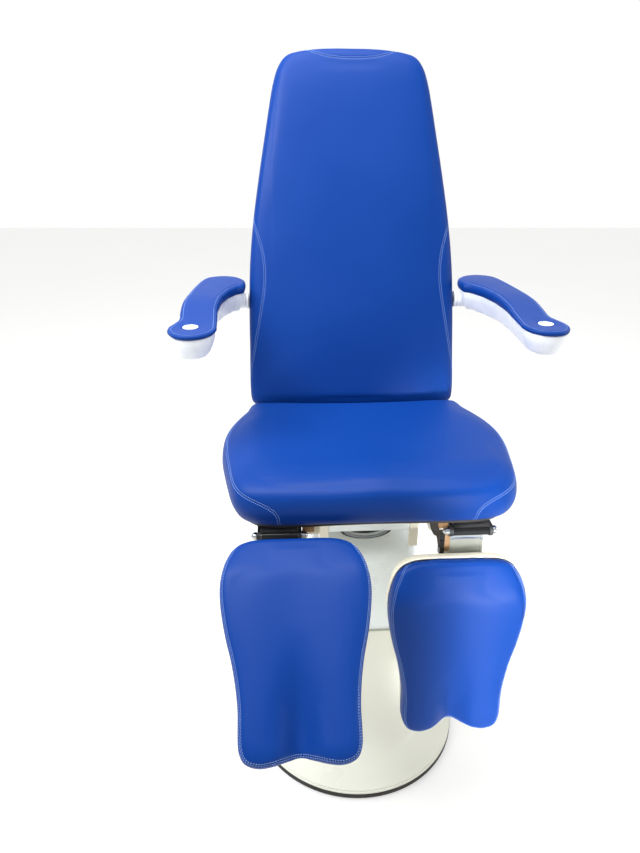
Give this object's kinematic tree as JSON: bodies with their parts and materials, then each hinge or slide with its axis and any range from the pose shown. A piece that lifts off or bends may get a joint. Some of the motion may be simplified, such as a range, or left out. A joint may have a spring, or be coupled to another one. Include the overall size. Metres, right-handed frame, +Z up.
{
  "type": "podiatry chair",
  "caption": "Treatment chair on a round telescopic column with tilting seat, reclining back, folding arm rests and two separate leg rests that pitch and slide out.",
  "frame": {"origin": "on the floor, on the axis of the column", "axes": "+Z up; the person in the chair faces -Y; +X is the right side of the chair as seen from the front"},
  "size_m": [0.85, 1.1764, 1.7225],
  "materials": {
    "rubber_ring": "matte",
    "zinc_steel": "satin",
    "warm_grey_cover": "gloss",
    "white_cover": "gloss",
    "black_plastic": "matte",
    "dark_paint": "satin",
    "cream_paint": "satin",
    "bushing_brass": "satin",
    "chrome_steel": "polished",
    "birch_plywood": "satin",
    "blue_upholstery": "satin",
    "cream_plastic": "gloss"
  },
  "bodies": {
    "base": {"floor_ring": "rubber_ring", "base_plate": "zinc_steel", "base_cover": "warm_grey_cover", "base_screws": "zinc_steel", "mains_inlet": "black_plastic", "column_outer": "zinc_steel", "outer_glides": "black_plastic", "lift_drive": "dark_paint", "lift_screw": "zinc_steel"},
    "column_middle": {"column_middle": "zinc_steel", "middle_glides": "black_plastic", "hollow_screw": "zinc_steel"},
    "lift": {"column_inner": "zinc_steel", "nut_tube": "bushing_brass", "column_head": "dark_paint", "swivel_bearing": "zinc_steel", "upper_cover": "white_cover"},
    "swivel": {"turntable": "dark_paint", "yoke_base": "cream_paint", "yoke_cheeks": "cream_paint", "tilt_bushes": "bushing_brass", "control_box": "white_cover", "cable_loops": "rubber_ring", "tilt_actuator": "dark_paint"},
    "tilt_rod": {"tilt_rod": "chrome_steel"},
    "seat": {"seat_rails": "dark_paint", "seat_cross_tubes": "dark_paint", "tilt_shaft": "zinc_steel", "seat_board": "birch_plywood", "seat_cushion": "blue_upholstery", "leg_brackets": "dark_paint", "leg_hinge_pins": "chrome_steel", "back_hinge_plates": "dark_paint", "back_hinge_pins": "zinc_steel", "back_actuator": "dark_paint"},
    "back_rod": {"back_rod": "chrome_steel"},
    "back": {"back_uprights": "dark_paint", "back_cross_tubes": "dark_paint", "back_board": "birch_plywood", "back_cushion": "blue_upholstery", "back_shell": "cream_plastic", "arm_brackets": "cream_paint", "arm_pivots": "zinc_steel"},
    "arm_left": {"arm_body_left": "cream_plastic", "arm_pad_left": "blue_upholstery", "arm_socket_left": "white_cover"},
    "leg_arm_left": {"leg_tongue_left": "chrome_steel"},
    "leg_rest_left": {"leg_guide_left": "black_plastic", "leg_shell_left": "cream_plastic", "leg_cushion_left": "blue_upholstery"},
    "leg_knob_left": {"leg_knob_left": "black_plastic"},
    "arm_right": {"arm_body_right": "cream_plastic", "arm_pad_right": "blue_upholstery", "arm_socket_right": "white_cover"},
    "leg_arm_right": {"leg_tongue_right": "chrome_steel"},
    "leg_rest_right": {"leg_guide_right": "black_plastic", "leg_shell_right": "cream_plastic", "leg_cushion_right": "blue_upholstery"},
    "leg_knob_right": {"leg_knob_right": "black_plastic"}
  },
  "joints": [
    {"name": "column_lift", "type": "slide", "parent": "base", "child": "lift", "axis": [0, 0, 1], "range_m": [-0.26, 0.06]},
    {"name": "column_middle_lift", "type": "slide", "parent": "base", "child": "column_middle", "axis": [0, 0, 1], "range_m": [-0.13, 0.03]},
    {"name": "seat_swivel", "type": "hinge", "parent": "lift", "child": "swivel", "pos_m": [0, 0, 0.7], "axis": [0, 0, 1], "range_deg": [-120, 120]},
    {"name": "seat_tilt", "type": "hinge", "parent": "swivel", "child": "seat", "pos_m": [0, 0.1, 0.784], "axis": [-1, 0, 0], "range_deg": [0, 15]},
    {"name": "tilt_rod_slide", "type": "slide", "parent": "swivel", "child": "tilt_rod", "axis": [0, -1, 0], "range_m": [0, 0.0105]},
    {"name": "backrest_recline", "type": "hinge", "parent": "seat", "child": "back", "pos_m": [0, 0.275, 0.852], "axis": [-1, 0, 0], "range_deg": [-5, 67]},
    {"name": "back_rod_slide", "type": "slide", "parent": "seat", "child": "back_rod", "axis": [0, -1, 0], "range_m": [-0.0062, 0.0829]},
    {"name": "arm_fold_left", "type": "hinge", "parent": "back", "child": "arm_left", "pos_m": [-0.294, 0.318, 1.135], "axis": [-1, 0, 0], "range_deg": [0, 85]},
    {"name": "leg_pitch_left", "type": "hinge", "parent": "seat", "child": "leg_arm_left", "pos_m": [-0.2015, -0.24, 0.783], "axis": [1, 0, 0], "range_deg": [-37, 48]},
    {"name": "leg_extension_left", "type": "slide", "parent": "leg_arm_left", "child": "leg_rest_left", "axis": [0, -0.7986, -0.6018], "range_m": [0, 0.12]},
    {"name": "leg_clamp_left", "type": "hinge", "parent": "leg_rest_left", "child": "leg_knob_left", "pos_m": [-0.2015, -0.35979, 0.69273], "axis": [0, -0.6018, 0.7986], "range_deg": [0, 180]},
    {"name": "arm_fold_right", "type": "hinge", "parent": "back", "child": "arm_right", "pos_m": [0.294, 0.318, 1.135], "axis": [-1, 0, 0], "range_deg": [0, 85]},
    {"name": "leg_pitch_right", "type": "hinge", "parent": "seat", "child": "leg_arm_right", "pos_m": [0.2015, -0.24, 0.783], "axis": [1, 0, 0], "range_deg": [-82, 3]},
    {"name": "leg_extension_right", "type": "slide", "parent": "leg_arm_right", "child": "leg_rest_right", "axis": [0, -0.1392, -0.9903], "range_m": [-0.038, 0.082]},
    {"name": "leg_clamp_right", "type": "hinge", "parent": "leg_rest_right", "child": "leg_knob_right", "pos_m": [0.2015, -0.26616, 0.59683], "axis": [0, -0.9903, 0.1392], "range_deg": [0, 180]}
  ],
  "couplings": [
    {"joint": "column_middle_lift", "follows": "column_lift", "ratio": 0.5},
    {"joint": "tilt_rod_slide", "follows": "seat_tilt", "m_per_rad": 0.0397},
    {"joint": "back_rod_slide", "follows": "backrest_recline", "m_per_rad": 0.070829}
  ]
}
